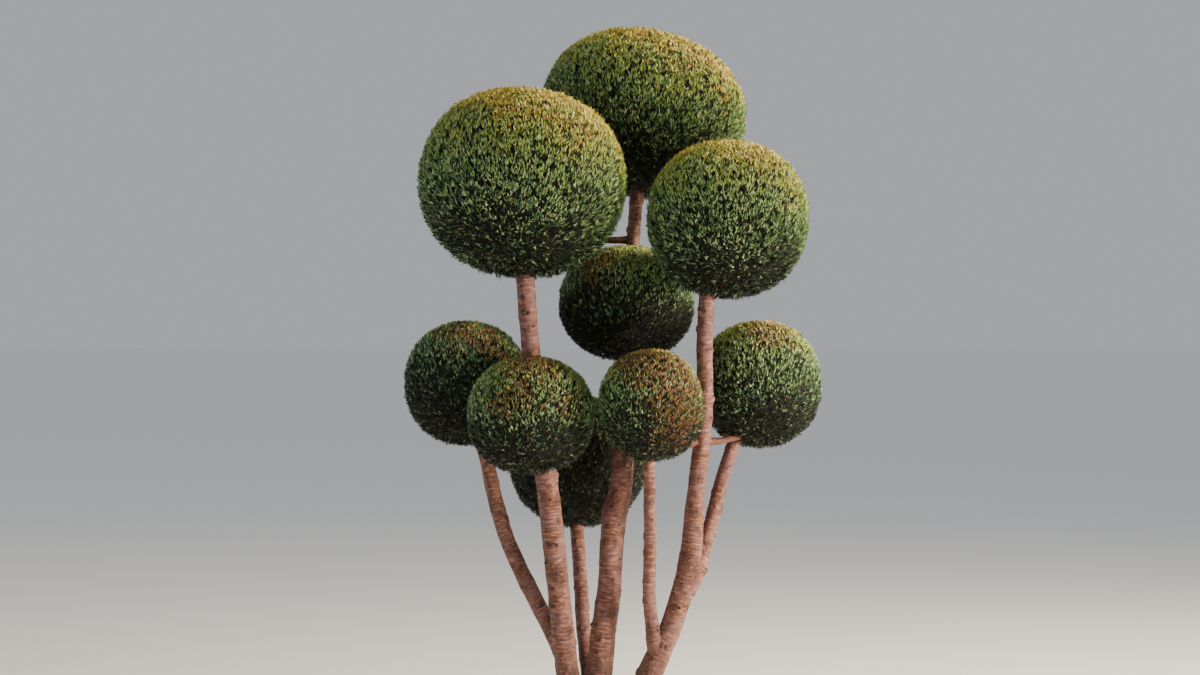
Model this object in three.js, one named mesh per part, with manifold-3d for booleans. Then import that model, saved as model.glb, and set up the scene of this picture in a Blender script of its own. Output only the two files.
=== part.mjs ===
// A clipped pompon conifer: seven bare stems rise from one rooted foot and carry nine clipped balls.
// Millimetres, +Z up. The origin is the middle of the flat cut at ground level.
// The front view looks along +Y, with +X to the right.
import * as THREE from 'three';
import { mergeVertices } from 'three/addons/utils/BufferGeometryUtils.js';
import Module from 'manifold-3d';

const wasm = await Module();
wasm.setup();

// Clearances
const seam = 0.3; // open joint between two neighbouring pieces
const stubSetback = 0.4; // from the end of a stem to the start of the stub that its ball stands on
const limbClearance = 2; // how far a spray or a twig stays off any stem
const mergeDistance = 0.0001; // corners nearer than this are one corner in a new solid
const weldDistance = 0.001; // and in a finished one

// The foot, from the ground to where its stems part
const forkHeight = 225;
const foot = {
  sides: 30,
  depthShare: 0.78, // the foot is a little narrower from front to back
  rootRidges: 5,
  ridgeRise: 0.17, // share of the radius that a root ridge adds at the ground
  ridgeFadeHeight: 75,
  profile: [[150, 0], [126, 12], [110, 34], [102, 64], [94, 92], [78, 116], [44, 130]], // radius, height
  crown: 134,
};

// A route holds x, y, z and the thickness there. The last point of a stem lies inside its ball.
const thickSides = 12;
const thinSides = 10;
const twigletSides = 8;
const stepsPerSpan = 2;
const ringMargin = 0.2; // a ring nearer than this share of a step to a limb's end is left out
const stems = {
  stem_front_left: {
    growsFrom: 'trunk',
    carries: 'ball_upper_left',
    sides: thickSides,
    route: [
      [-56, 0, 20, 76], [-91, -6, 289, 64], [-150, -34, 842, 62],
      [-190, -42, 1168, 51], [-217, -53, 1496, 50],
    ],
  },
  stem_centre: {
    growsFrom: 'trunk',
    carries: 'ball_top',
    sides: thickSides,
    route: [
      [-34, 14, 17, 84], [1, 34, 318, 75], [27, 59, 541, 65], [40, 84, 709, 69],
      [61, 106, 815, 64], [67, 123, 891, 60], [74, 168, 1046, 53], [87, 252, 1333, 46],
      [98, 314, 1523, 39], [117, 386, 1776, 37],
    ],
    cutStub: [[62, 109, 822, 34], [72, 105, 858, 32], [84, 101, 892, 29]], // a leader sawn off flat
  },
  stem_front_right: {
    growsFrom: 'trunk',
    carries: 'ball_upper_right',
    sides: thickSides,
    route: [
      [34, 0, 20, 84], [140, 0, 288, 70], [206, 6, 433, 60], [250, 11, 596, 63],
      [272, 14, 825, 48], [293, 14, 1016, 46], [293, -6, 1218, 45], [304, -22, 1400, 47],
    ],
  },
  stem_front_mid: {
    growsFrom: 'stem_front_right',
    carries: 'ball_front_mid',
    sides: thinSides,
    route: [
      [160, 0, 330, 39], [138, -23, 492, 36], [140, -46, 661, 35],
      [137, -76, 857, 34], [139, -87, 968, 33],
    ],
  },
  stem_right: {
    growsFrom: 'stem_front_right',
    carries: 'ball_right',
    sides: thinSides,
    route: [
      [241, 11, 511, 42], [281, 34, 599, 44], [316, 62, 710, 40],
      [345, 90, 821, 39], [384, 118, 931, 38], [421, 132, 1019, 37],
    ],
  },
  stem_rear_left: {
    growsFrom: 'trunk',
    carries: 'ball_rear_left',
    sides: thinSides,
    route: [
      [-6, 39, 143, 53], [-62, 73, 220, 51], [-125, 118, 365, 47], [-213, 160, 532, 46],
      [-265, 185, 645, 44], [-305, 213, 772, 42], [-330, 246, 886, 42], [-357, 264, 972, 40],
    ],
  },
  stem_rear_low: {
    growsFrom: 'trunk',
    carries: 'ball_rear_low',
    sides: thinSides,
    route: [
      [-17, 73, 102, 48], [-26, 118, 215, 44], [-45, 174, 359, 41],
      [-56, 241, 525, 40], [-66, 306, 666, 40], [-66, 328, 766, 38],
    ],
  },
  side_branch_upper: {
    growsFrom: 'stem_centre',
    sides: twigletSides,
    level: true,
    route: [[98, 314, 1509, 19], [12, 291, 1508, 18], [-35, 280, 1511, 16]],
  },
  side_branch_left: {
    growsFrom: 'stem_front_right',
    reaches: 'ball_front_mid',
    sides: twigletSides,
    level: true,
    route: [[283, 14, 937, 21], [246, -6, 927, 21], [196, -34, 915, 20]],
  },
  side_branch_right: {
    growsFrom: 'stem_front_right',
    reaches: 'ball_right',
    sides: twigletSides,
    level: true,
    route: [[283, 14, 935, 20], [333, 50, 933, 18], [396, 80, 945, 17]],
  },
};

// Clipped balls: the middle, the half-sizes along x, y and z, and by how many degrees the right end tips down
const balls = {
  ball_top: { centre: [129, 420, 1886], radii: [308, 292, 251], tip: 13, seed: 6 },
  ball_upper_left: { centre: [-216, -56, 1657], radii: [294, 284, 268], tip: 6, seed: 25 },
  ball_upper_right: { centre: [356, -34, 1556], radii: [230, 226, 225], tip: 0, seed: 7 },
  ball_centre: { centre: [77, 252, 1325], radii: [200, 186, 170], tip: 0, seed: 3 },
  ball_rear_left: { centre: [-387, 270, 1094], radii: [183, 178, 183], tip: 0, seed: 6 },
  ball_front_left: { centre: [-193, -42, 1009], radii: [182, 174, 168], tip: 0, seed: 4 },
  ball_front_mid: { centre: [142, -90, 1038], radii: [149, 145, 158], tip: -11, seed: 6 },
  ball_right: { centre: [455, 150, 1093], radii: [180, 170, 184], tip: -4, seed: 5 },
  ball_rear_low: { centre: [-64, 335, 865], radii: [204, 190, 195], tip: 0, seed: 6 },
};
const squareness = 2.15; // 2 is a plain ellipsoid, and more is fuller at the shoulders

// Foliage, the same grain on every ball
const core = { // the dense inside of a ball
  share: 0.875, // of the clipped surface
  roughness: 0.02,
  tuftRise: 0.12, // its low tufts, as a share of the clipped surface
  tuftVariety: 0.6,
  stray: 0.25, // how far the net's corners stray, as a share of its edges
  peakStray: 1.6,
  upwardLean: 0.12,
  smallDetail: 2,
  largeDetail: 3,
};
const largeBallRadius = 220;
const entryShare = 0.97; // a stem ends here, just under a ball's clipped surface
const passingShare = 1.05; // a stem that comes nearer than this has its ball cut clear of it
const spraysPerSquareMetre = 36;
const spraysPerTwig = 3;
const fanSpacing = 92; // from a twig's end to the tips of the sprays round it
const spray = {
  length: 105,
  width: 92,
  thickness: 24,
  thickestAt: 0.6, // shares of the length from the root to the tip
  sideToothAt: 0.88,
  notchAt: 0.7,
  notchWidth: 0.42, // share of the width between the two notches
  upwardLean: 0.6,
  scatter: 0.25,
  turn: 0.9, // radians either way about its own length
  unevenness: 0.025,
};
const twig = { rootRadius: 7, tipRadius: 2.5, reach: 0.93 };

const bark = { color: 0x7c5a4c, roughness: 0.85 };
const youngBark = { color: 0x9a6440, roughness: 0.8 };
const foliage = { color: 0x3f5a26, roughness: 0.9 };
const nearlyUpright = 0.9; // the upward share of a direction past which it counts as upright
const up = new THREE.Vector3(0, 0, 1);
const right = new THREE.Vector3(1, 0, 0);

function seededRandom(start) {
  const multiplier = 1664525;
  const increment = 1013904223;
  const range = 2 ** 32;
  let state = start;
  return () => {
    state = (state * multiplier + increment) % range;
    return state / range;
  };
}

// A small random step, up to 1 along each axis
function strayFrom(random) {
  return new THREE.Vector3(random() - 0.5, random() - 0.5, random() - 0.5).multiplyScalar(2);
}

// Solids and meshes

function solidFrom(geometry, tolerance = mergeDistance) {
  geometry.deleteAttribute('normal');
  geometry.deleteAttribute('uv');
  const merged = mergeVertices(geometry, tolerance);
  return new wasm.Manifold(new wasm.Mesh({
    numProp: 3,
    vertProperties: new Float32Array(merged.attributes.position.array),
    triVerts: new Uint32Array(merged.index.array),
  }));
}

function solidFromFaces(points, faces) {
  const numbers = points.flatMap((point) => point.toArray());
  const geometry = new THREE.BufferGeometry();
  geometry.setAttribute('position', new THREE.Float32BufferAttribute(numbers, 3));
  geometry.setIndex(faces);
  return solidFrom(geometry);
}

function geometryFrom(solid) {
  const { vertProperties, triVerts } = solid.getMesh();
  const geometry = new THREE.BufferGeometry();
  geometry.setAttribute('position', new THREE.BufferAttribute(vertProperties, 3));
  geometry.setIndex(new THREE.BufferAttribute(triVerts, 1));
  return geometry;
}

// The largest body alone, once near points are welded: loose scraps go, and a sealed hollow is filled
function mainBody(solid) {
  const bodies = solidFrom(geometryFrom(solid), weldDistance).decompose();
  return bodies.sort((a, b) => b.volume() - a.volume())[0];
}

function meshFrom(name, solid, finish) {
  const geometry = geometryFrom(solid);
  geometry.computeVertexNormals();
  const mesh = new THREE.Mesh(geometry, new THREE.MeshStandardMaterial({ ...finish, metalness: 0 }));
  mesh.name = name;
  return mesh;
}

// Stems

function curveThrough(route) {
  return new THREE.CatmullRomCurve3(route.map(([x, y, z]) => new THREE.Vector3(x, y, z)));
}

// Where a route is at t from 0 to 1: its centre, its direction, two directions across it, and its radius
function routeAt(stem, t) {
  const spans = stem.route.length - 1;
  const place = Math.min(Math.max(t, 0), 1) * spans;
  const before = Math.min(Math.floor(place), spans - 1);
  const [from, to] = [stem.route[before], stem.route[before + 1]].map(([, , , thickness]) => thickness);
  const along = stem.curve.getTangent(t);
  const reference = stem.level ? up : right;
  const across = reference.clone().addScaledVector(along, -reference.dot(along)).normalize();
  return {
    centre: stem.curve.getPoint(t),
    along,
    across,
    aside: across.clone().cross(along),
    radius: THREE.MathUtils.lerp(from, to, place - before) / 2,
  };
}

// The rings of a limb from one t to another, at the same places whatever its ends, so that a sleeve fits
function stationsBetween(stem, from, to) {
  const count = (stem.route.length - 1) * stepsPerSpan;
  const margin = ringMargin / count;
  const inner = Array.from({ length: count + 1 }, (_, k) => k / count)
    .filter((t) => t > from + margin && t < to - margin);
  return [from, ...inner, to];
}

// One closed tapering limb along a route, from one t to another, and thicker by grow
function limbGeometry(stem, from, to, grow = 0) {
  const stations = stationsBetween(stem, from, to);
  const steps = stations.length - 1;
  const geometry = new THREE.CylinderGeometry(1, 1, 1, stem.sides, steps);
  const position = geometry.attributes.position;
  for (let i = 0; i < position.count; i += 1) {
    const t = stations[Math.round((position.getY(i) + 0.5) * steps)];
    const { centre, across, aside, radius } = routeAt(stem, t);
    centre.addScaledVector(across, position.getX(i) * (radius + grow));
    centre.addScaledVector(aside, position.getZ(i) * (radius + grow));
    position.setXYZ(i, centre.x, centre.y, centre.z);
  }
  return geometry;
}

// How much t passes over a short length of the route
function stepOver(stem, t, length) {
  const probe = 0.001;
  return (length * probe) / stem.curve.getPoint(t).distanceTo(stem.curve.getPoint(t - probe));
}

// The t where test turns from false to true, between low and high
function findTurn(low, high, test) {
  const halvings = 30;
  let [before, after] = [low, high];
  for (let i = 0; i < halvings; i += 1) {
    const middle = (before + after) / 2;
    if (test(middle)) {
      after = middle;
    } else {
      before = middle;
    }
  }
  return after;
}

// Balls

// 1 on the clipped surface of a ball, less inside and more outside
function shareAt(ball, point) {
  const local = point.clone().sub(ball.middle).applyAxisAngle(ball.tipAxis, -ball.tipAngle);
  const sum = ball.radii.reduce((total, radius, i) => (
    total + (Math.abs(local.getComponent(i)) / radius) ** squareness), 0);
  return sum ** (1 / squareness);
}

// The point of a ball in a direction of its own, at a share of the clipped surface
function ballPoint(ball, direction, share) {
  const sum = direction.toArray().reduce((total, part) => total + Math.abs(part) ** squareness, 0);
  return direction.clone()
    .multiplyScalar(share / sum ** (1 / squareness))
    .multiply(ball.size)
    .applyAxisAngle(ball.tipAxis, ball.tipAngle)
    .add(ball.middle);
}

// The dense inside of a ball: a closed, uneven net of triangles, each raised into a low tuft
function coreSolid(ball, random) {
  const large = Math.max(...ball.radii) > largeBallRadius;
  const net = new THREE.IcosahedronGeometry(1, large ? core.largeDetail : core.smallDetail);
  net.deleteAttribute('normal');
  net.deleteAttribute('uv');
  const { attributes: { position }, index: { array: corners } } = mergeVertices(net);
  const edge = new THREE.Vector3().fromBufferAttribute(position, corners[0])
    .distanceTo(new THREE.Vector3().fromBufferAttribute(position, corners[1]));
  const directions = [];
  for (let i = 0; i < position.count; i += 1) {
    directions.push(new THREE.Vector3().fromBufferAttribute(position, i)
      .addScaledVector(strayFrom(random), edge * core.stray).normalize());
  }
  const points = directions.map((d) => ballPoint(ball, d, core.share - core.roughness * random()));
  const faces = [];
  for (let i = 0; i < corners.length; i += 3) {
    const [a, b, c] = corners.slice(i, i + 3);
    const peak = new THREE.Vector3();
    for (const corner of [a, b, c]) {
      peak.addScaledVector(directions[corner], 1 + core.peakStray * random());
    }
    peak.normalize();
    peak.addScaledVector(up, edge * core.upwardLean * (1 - peak.z)).normalize();
    faces.push(a, b, points.length, b, c, points.length, c, a, points.length);
    points.push(ballPoint(ball, peak, core.share + core.tuftRise * (1 - core.tuftVariety * random())));
  }
  return solidFromFaces(points, faces);
}

// A flat spray with three teeth: its root, then its outline round the tip, and the two sides of its rib
function sprayPoints(tip, growth, across) {
  const root = tip.clone().addScaledVector(growth, -spray.length);
  const aside = growth.clone().cross(across);
  const place = (share, sideways) => root.clone()
    .addScaledVector(growth, spray.length * share)
    .addScaledVector(across, (spray.width * sideways) / 2);
  const outline = [
    root, place(spray.sideToothAt, 1), place(spray.notchAt, spray.notchWidth), tip,
    place(spray.notchAt, -spray.notchWidth), place(spray.sideToothAt, -1),
  ];
  const rib = [-1, 1].map((side) => place(spray.thickestAt, 0)
    .addScaledVector(aside, (side * spray.thickness) / 2));
  return { root, outline, rib };
}

function spraySolid({ outline, rib }) {
  const points = [...outline, ...rib];
  const [under, over] = [outline.length, outline.length + 1];
  const faces = outline.flatMap((_, i) => {
    const next = (i + 1) % outline.length;
    return [over, i, next, under, next, i];
  });
  return solidFromFaces(points, faces);
}

// A three-sided twig from one point to another
function twigSolid(from, to) {
  const length = from.distanceTo(to);
  const geometry = new THREE.CylinderGeometry(twig.tipRadius, twig.rootRadius, length, 3);
  const turn = new THREE.Quaternion().setFromUnitVectors(
    new THREE.Vector3(0, 1, 0), to.clone().sub(from).normalize());
  const middle = from.clone().lerp(to, 0.5);
  geometry.applyMatrix4(new THREE.Matrix4().compose(middle, turn, new THREE.Vector3(1, 1, 1)));
  return solidFrom(geometry);
}

function clearOfLimbs(point, limbPoints) {
  return limbPoints.every(({ centre, radius }) => centre.distanceTo(point) > radius + limbClearance);
}

function evenDirection(index, count) {
  const goldenAngle = Math.PI * (3 - Math.sqrt(5));
  const height = 1 - (2 * (index + 0.5)) / count;
  const reach = Math.sqrt(1 - height * height);
  const turn = goldenAngle * index;
  return new THREE.Vector3(reach * Math.cos(turn), reach * Math.sin(turn), height);
}

function surfaceArea({ radii: [a, b, c] }) {
  const power = 1.6;
  const mean = ((a * b) ** power + (a * c) ** power + (b * c) ** power) / 3;
  return (4 * Math.PI * mean ** (1 / power)) / 1e6;
}

// A spray that grows out and upwards on the ball, sunk until it keeps within the clipped surface
function fittedSpray(ball, direction, random) {
  const outward = direction.clone().divide(ball.size).normalize();
  const stray = strayFrom(random).multiplyScalar(spray.scatter);
  const growth = outward.clone()
    .addScaledVector(up.clone().addScaledVector(outward, -outward.z), spray.upwardLean)
    .add(stray)
    .normalize();
  const across = outward.clone().cross(growth).normalize()
    .applyAxisAngle(growth, (random() - 0.5) * 2 * spray.turn);
  const farthest = 1 - spray.unevenness * random();
  const sinkStep = 0.01;
  let share = 1 + 2 * sinkStep;
  let blade = sprayPoints(ballPoint(ball, direction, share), growth, across);
  while (blade.outline.some((p) => shareAt(ball, p) > farthest)) {
    share -= sinkStep;
    blade = sprayPoints(ballPoint(ball, direction, share), growth, across);
  }
  return blade;
}

// Twigs fork from the middle of the ball to every side, and each ends in a fan of upward sprays
function growFoliage(ball, inside, limbPoints, random) {
  const count = Math.round((surfaceArea(ball) * spraysPerSquareMetre) / spraysPerTwig);
  const meanRadius = (ball.radii[0] + ball.radii[1] + ball.radii[2]) / 3;
  let solid = inside;
  for (let i = 0; i < count; i += 1) {
    const direction = evenDirection(i, count);
    const twigEnd = ballPoint(ball, direction, twig.reach);
    if (clearOfLimbs(twigEnd, limbPoints)) {
      solid = solid.add(twigSolid(ball.middle, twigEnd));
    }
    const reference = Math.abs(direction.z) > nearlyUpright ? right : up;
    const sideways = direction.clone().cross(reference).normalize();
    const firstTurn = random() * 2 * Math.PI;
    for (let k = 0; k < spraysPerTwig; k += 1) {
      const turn = firstTurn + (k * 2 * Math.PI) / spraysPerTwig;
      const axis = sideways.clone().applyAxisAngle(direction, turn);
      const place = direction.clone().applyAxisAngle(axis, fanSpacing / meanRadius);
      const blade = fittedSpray(ball, place, random);
      const corners = [...blade.outline, ...blade.rib];
      const probes = corners.concat(corners.map((p) => p.clone().lerp(blade.root, 0.5)));
      const rooted = shareAt(ball, blade.root) < core.share - 2 * core.roughness;
      if (rooted && probes.every((p) => clearOfLimbs(p, limbPoints))) {
        solid = solid.add(spraySolid(blade));
      }
    }
  }
  return solid;
}

// The foot: a flared body with root ridges, and the feet of the stems that stand on it

function footSolid() {
  const outline = [[0, 0], ...foot.profile, [0, foot.crown]]
    .map(([radius, height]) => new THREE.Vector2(radius, height));
  const geometry = new THREE.LatheGeometry(outline, foot.sides);
  geometry.rotateX(Math.PI / 2);
  const position = geometry.attributes.position;
  for (let i = 0; i < position.count; i += 1) {
    const [x, y, z] = [position.getX(i), position.getY(i), position.getZ(i)];
    const ridge = 0.5 + 0.5 * Math.cos(foot.rootRidges * Math.atan2(y, x));
    const swell = 1 + foot.ridgeRise * ridge * Math.exp(-z / foot.ridgeFadeHeight);
    position.setXY(i, x * swell, y * swell * foot.depthShare);
  }
  return solidFrom(geometry);
}

function prepare() {
  for (const ball of Object.values(balls)) {
    ball.middle = new THREE.Vector3(...ball.centre);
    ball.size = new THREE.Vector3(...ball.radii);
    ball.tipAxis = new THREE.Vector3(0, 1, 0);
    ball.tipAngle = THREE.MathUtils.degToRad(ball.tip);
  }
  for (const stem of Object.values(stems)) {
    stem.curve = curveThrough(stem.route);
    stem.start = 0;
    if (stem.growsFrom === 'trunk') {
      stem.start = findTurn(0, 1, (t) => stem.curve.getPoint(t).z > forkHeight);
    }
    const ball = balls[stem.carries ?? stem.reaches];
    stem.end = ball ? findTurn(0, 1, (t) => shareAt(ball, stem.curve.getPoint(t)) < entryShare) : 1;
  }
}

function trunkSolid() {
  let solid = footSolid();
  for (const stem of Object.values(stems)) {
    if (stem.growsFrom === 'trunk') {
      solid = solid.add(solidFrom(limbGeometry(stem, 0, stem.start)));
    }
  }
  return mainBody(solid);
}

// A stem on the foot starts on its cut stub, and any other is cut to fit round what it grows from
function stemSolid(stem) {
  if (stem.growsFrom === 'trunk') {
    let solid = solidFrom(limbGeometry(stem, stem.start + stepOver(stem, stem.start, seam), stem.end));
    if (stem.cutStub) {
      const stub = { route: stem.cutStub, sides: stem.sides };
      stub.curve = curveThrough(stub.route);
      solid = solid.add(solidFrom(limbGeometry(stub, 0, 1)));
    }
    return solid;
  }
  const parent = stems[stem.growsFrom];
  const around = solidFrom(limbGeometry(parent, 0, parent.end, seam));
  return mainBody(solidFrom(limbGeometry(stem, 0, stem.end)).subtract(around));
}

// A ball is cut clear of every stem that enters it, and stands on a stub of its own stem
function ballSolid(name, limbPoints) {
  const ball = balls[name];
  const random = seededRandom(ball.seed);
  let solid = growFoliage(ball, coreSolid(ball, random), limbPoints, random);
  for (const stem of Object.values(stems)) {
    if (stem.samples.some(({ centre }) => shareAt(ball, centre) < passingShare)) {
      const past = stepOver(stem, stem.end, seam);
      solid = solid.subtract(solidFrom(limbGeometry(stem, 0, Math.min(stem.end + past, 1), seam)));
    }
    if (stem.carries === name) {
      const start = stem.end + stepOver(stem, stem.end, stubSetback);
      solid = solid.add(solidFrom(limbGeometry(stem, start, 1)));
    }
  }
  return mainBody(solid);
}

prepare();
const samplesPerLimb = 60;
const limbPoints = [];
for (const stem of Object.values(stems)) {
  const shares = Array.from({ length: samplesPerLimb + 1 }, (_, i) => i / samplesPerLimb);
  stem.samples = shares.map((share) => routeAt(stem, stem.end * share));
  limbPoints.push(...stem.samples);
}

const plant = new THREE.Group();
plant.add(meshFrom('trunk', trunkSolid(), bark));
for (const [name, stem] of Object.entries(stems)) {
  plant.add(meshFrom(name, stemSolid(stem), stem.level ? youngBark : bark));
}
for (const name of Object.keys(balls)) {
  plant.add(meshFrom(name, ballSolid(name, limbPoints), foliage));
}

export default plant;
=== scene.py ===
# Clipped pompon conifer: bark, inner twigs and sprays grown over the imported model.
# Routes and balls are in millimetres and carry the solids' numbers; two notes below say where they don't.
import bpy
import math
import numpy as np
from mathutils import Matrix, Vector, noise


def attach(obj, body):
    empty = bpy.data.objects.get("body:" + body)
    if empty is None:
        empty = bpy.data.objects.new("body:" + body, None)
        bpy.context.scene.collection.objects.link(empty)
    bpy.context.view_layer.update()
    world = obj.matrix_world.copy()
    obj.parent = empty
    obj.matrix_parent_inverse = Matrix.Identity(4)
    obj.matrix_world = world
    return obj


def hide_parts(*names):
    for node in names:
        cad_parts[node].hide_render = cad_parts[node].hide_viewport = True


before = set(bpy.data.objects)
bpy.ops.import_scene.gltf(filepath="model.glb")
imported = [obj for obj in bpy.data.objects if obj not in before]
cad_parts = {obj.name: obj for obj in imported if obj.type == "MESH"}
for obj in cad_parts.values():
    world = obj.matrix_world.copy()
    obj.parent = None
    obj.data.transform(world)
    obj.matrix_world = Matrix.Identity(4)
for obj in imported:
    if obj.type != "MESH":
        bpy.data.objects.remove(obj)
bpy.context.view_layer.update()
bpy.ops.object.select_all(action='DESELECT')
mm = 0.001

print("camera, light and floor")
view = {"distance": 7.9, "height": 1.225, "mmPerPixel": 2.8, "imageWidth": 1200, "sensorWidth": 36.0}
bpy.ops.object.camera_add(location=(0, -view["distance"], view["height"]), rotation=(math.pi / 2, 0, 0))
camera = bpy.context.object
camera.name = "photoCamera"
camera.data.sensor_width = view["sensorWidth"]
camera.data.lens = view["sensorWidth"] * view["distance"] / (view["imageWidth"] * view["mmPerPixel"] * mm)
bpy.context.scene.camera = camera

lights = {
    "keyLight": {"place": (4.0, 0.5, 4.6), "target": (0, 0, 1.2), "size": 1.2, "power": 640,
        "colour": (1.0, 0.85, 0.60)},
    "stemLight": {"place": (4.2, -1.5, 1.0), "target": (0, 0, 0.90), "size": 0.8, "power": 14,
        "colour": (1.0, 0.84, 0.70), "spread": 0.5},
    "fillLight": {"place": (-3.4, -5.2, 4.2), "target": (0, 0, 1.2), "size": 3.0, "power": 27,
        "colour": (0.82, 0.91, 1.0)},
}
studio = {"skyColour": (0.88, 0.92, 0.97), "skyStrength": 0.475, "floorColour": (0.96, 0.955, 0.945),
          "floorRoughness": 0.9, "floorSize": 600}

for name, light in lights.items():
    bpy.ops.object.light_add(type='AREA', location=light["place"])
    lamp = bpy.context.object
    lamp.name = name
    aim = Vector(light["target"]) - Vector(light["place"])
    lamp.rotation_euler = aim.to_track_quat('-Z', 'Y').to_euler()
    lamp.data.size = light["size"]
    lamp.data.energy = light["power"]
    lamp.data.color = light["colour"]
    lamp.data.spread = light.get("spread", math.pi)

world = bpy.data.worlds.new("paleStudio")
bpy.context.scene.world = world
world.use_nodes = True
world.node_tree.nodes["Background"].inputs["Color"].default_value = (*studio["skyColour"], 1)
world.node_tree.nodes["Background"].inputs["Strength"].default_value = studio["skyStrength"]


def newMaterial(name, values):
    material = bpy.data.materials.new(name)
    material.use_nodes = True
    shader = material.node_tree.nodes["Principled BSDF"]
    for socket, value in values.items():
        shader.inputs[socket].default_value = value
    return material, shader


# a colour in screen values, 0 to 255, turned into the linear colour that a shader takes
def srgb(red, green, blue):
    linear = []
    for part in (red, green, blue):
        part = part / 255
        linear.append(part / 12.92 if part <= 0.04045 else ((part + 0.055) / 1.055) ** 2.4)
    return (*linear, 1.0)


bpy.ops.mesh.primitive_plane_add(size=studio["floorSize"], location=(0, 0, 0))
floor = bpy.context.object
floor.name = "paleFloor"
floorMaterial, _ = newMaterial("paleFloorPaint", {"Base Color": (*studio["floorColour"], 1),
                                                  "Roughness": studio["floorRoughness"]})
floor.data.materials.append(floorMaterial)

# limbs: each route holds points and the limb's width there, and a limb without "from" stands on the trunk
thick, thin, twiggy = 56, 44, 28  # sides of a limb
stems = {
    "stem_front_left": {"carries": "ball_upper_left", "sides": thick, "route": [
        (-56, 0, 20, 76), (-91, -6, 289, 64), (-150, -34, 842, 62), (-190, -42, 1168, 51),
        (-217, -53, 1496, 50)]},
    "stem_centre": {"carries": "ball_top", "sides": thick, "route": [
        (-34, 14, 17, 84), (1, 34, 318, 75), (27, 59, 541, 65), (40, 84, 709, 69), (61, 106, 815, 64),
        (67, 123, 891, 60), (74, 168, 1046, 53), (87, 252, 1333, 46), (98, 314, 1523, 39),
        (117, 386, 1776, 37)]},
    "stem_front_right": {"carries": "ball_upper_right", "sides": thick, "route": [
        (34, 0, 20, 84), (140, 0, 288, 70), (206, 6, 433, 60), (250, 11, 596, 63), (272, 14, 825, 48),
        (293, 14, 1016, 46), (293, -6, 1218, 45), (304, -22, 1400, 47)]},
    "stem_front_mid": {"from": "stem_front_right", "carries": "ball_front_mid", "sides": thin, "route": [
        (160, 0, 330, 39), (138, -23, 492, 36), (140, -46, 661, 35), (137, -76, 857, 34),
        (139, -87, 968, 33)]},
    "stem_right": {"from": "stem_front_right", "carries": "ball_right", "sides": thin, "route": [
        (241, 11, 511, 42), (281, 34, 599, 44), (316, 62, 710, 40), (345, 90, 821, 39),
        (384, 118, 931, 38), (421, 132, 1019, 37)]},
    "stem_rear_left": {"carries": "ball_rear_left", "sides": thin, "route": [
        (-6, 39, 143, 53), (-62, 73, 220, 51), (-125, 118, 365, 47), (-213, 160, 532, 46),
        (-265, 185, 645, 44), (-305, 213, 772, 42), (-330, 246, 886, 42), (-357, 264, 972, 40)]},
    "stem_rear_low": {"carries": "ball_rear_low", "sides": thin, "route": [
        (-12, 48, 40, 50),  # carried on down into the foot, further than the solid, so that no end shows
        (-17, 73, 102, 48), (-26, 118, 215, 44), (-45, 174, 359, 41), (-56, 241, 525, 40),
        (-66, 306, 666, 40), (-66, 328, 766, 38)]},
    "side_branch_upper": {"from": "stem_centre", "sides": twiggy, "level": True, "route": [
        (98, 314, 1509, 19), (12, 291, 1508, 18), (-35, 280, 1511, 16)]},
    "side_branch_left": {"from": "stem_front_right", "sides": twiggy, "level": True, "route": [
        (283, 14, 937, 21), (246, -6, 927, 21), (196, -34, 915, 20)]},
    "side_branch_right": {"from": "stem_front_right", "sides": twiggy, "level": True, "route": [
        (283, 14, 935, 20), (333, 50, 933, 18), (396, 80, 945, 17)]},
}
# the leader sawn off flat; it stands 10 mm nearer than in the solid, proud of its stem's relief
sawnLeader = {"sides": thin, "route": [(62, 104, 822, 34), (73, 96, 858, 33), (84, 91, 892, 31)]}

# centre, radii, tip in degrees, seed, size of the sprays, and the ball's painted shade, below 0 darker for
# the balls that others shade, above 0 painted light;
# the small balls have finer and closer sprays
balls = {
    "ball_top": ((129, 420, 1886), (308, 292, 251), 13, 6, 1.0, 0.0),
    "ball_upper_left": ((-216, -56, 1657), (294, 284, 268), 6, 25, 1.0, 0.05),
    "ball_upper_right": ((356, -34, 1556), (230, 226, 225), 0, 7, 0.95, -0.03),
    "ball_centre": ((77, 252, 1325), (200, 186, 170), 0, 3, 0.85, -0.47),
    "ball_rear_left": ((-387, 270, 1094), (183, 178, 183), 0, 6, 0.85, -0.58),
    "ball_front_left": ((-193, -42, 1009), (182, 174, 168), 0, 4, 0.82, -0.30),
    "ball_front_mid": ((142, -90, 1038), (149, 145, 158), -11, 6, 0.78, -0.26),
    "ball_right": ((455, 150, 1093), (180, 170, 184), -4, 5, 0.84, -0.29),
    "ball_rear_low": ((-64, 335, 865), (204, 190, 195), 0, 6, 0.85, -0.80),
}
for name, row in balls.items():
    balls[name] = dict(zip(("centre", "radii", "tip", "seed", "fine", "shade"), row))
    for label in ("centre", "radii"):
        balls[name][label] = np.array(balls[name][label], float)
squareness = 2.15  # 2 is a true ellipsoid
routeSamples = 2000
endShare = 0.72  # a stem ends this far out in its ball


def unit(vectors):
    return vectors / np.linalg.norm(vectors, axis=-1, keepdims=True)


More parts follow.
